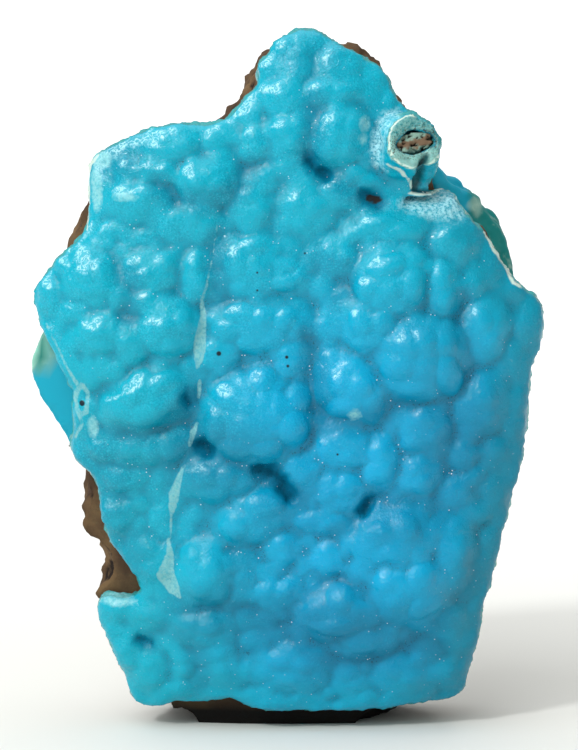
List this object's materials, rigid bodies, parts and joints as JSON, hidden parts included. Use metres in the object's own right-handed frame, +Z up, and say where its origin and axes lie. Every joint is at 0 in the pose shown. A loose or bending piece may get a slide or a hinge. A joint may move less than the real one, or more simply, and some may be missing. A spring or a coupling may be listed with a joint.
{
  "type": "hemimorphite specimen",
  "caption": "Upright mineral specimen: a sky-blue botryoidal crust over brown iron-oxide matrix, with a broken stub and a flat sawn foot.",
  "frame": {"origin": "centre of the specimen's box at the level of its sawn foot", "axes": "+X to the right and +Z up as the specimen stands, with its crust facing -Y"},
  "size_m": [0.0461, 0.0231, 0.0633],
  "materials": {
    "hemimorphite": "waxy, finely velvety botryoidal crust",
    "hemimorphite_teal": "waxy crust with pale broken edges",
    "matrix": "dull, porous, earthy fracture"
  },
  "bodies": {
    "root": {"hemimorphite_crust": "hemimorphite", "matrix": "matrix", "crust_behind_right": "hemimorphite_teal", "crust_behind_left": "hemimorphite_teal"}
  },
  "joints": []
}
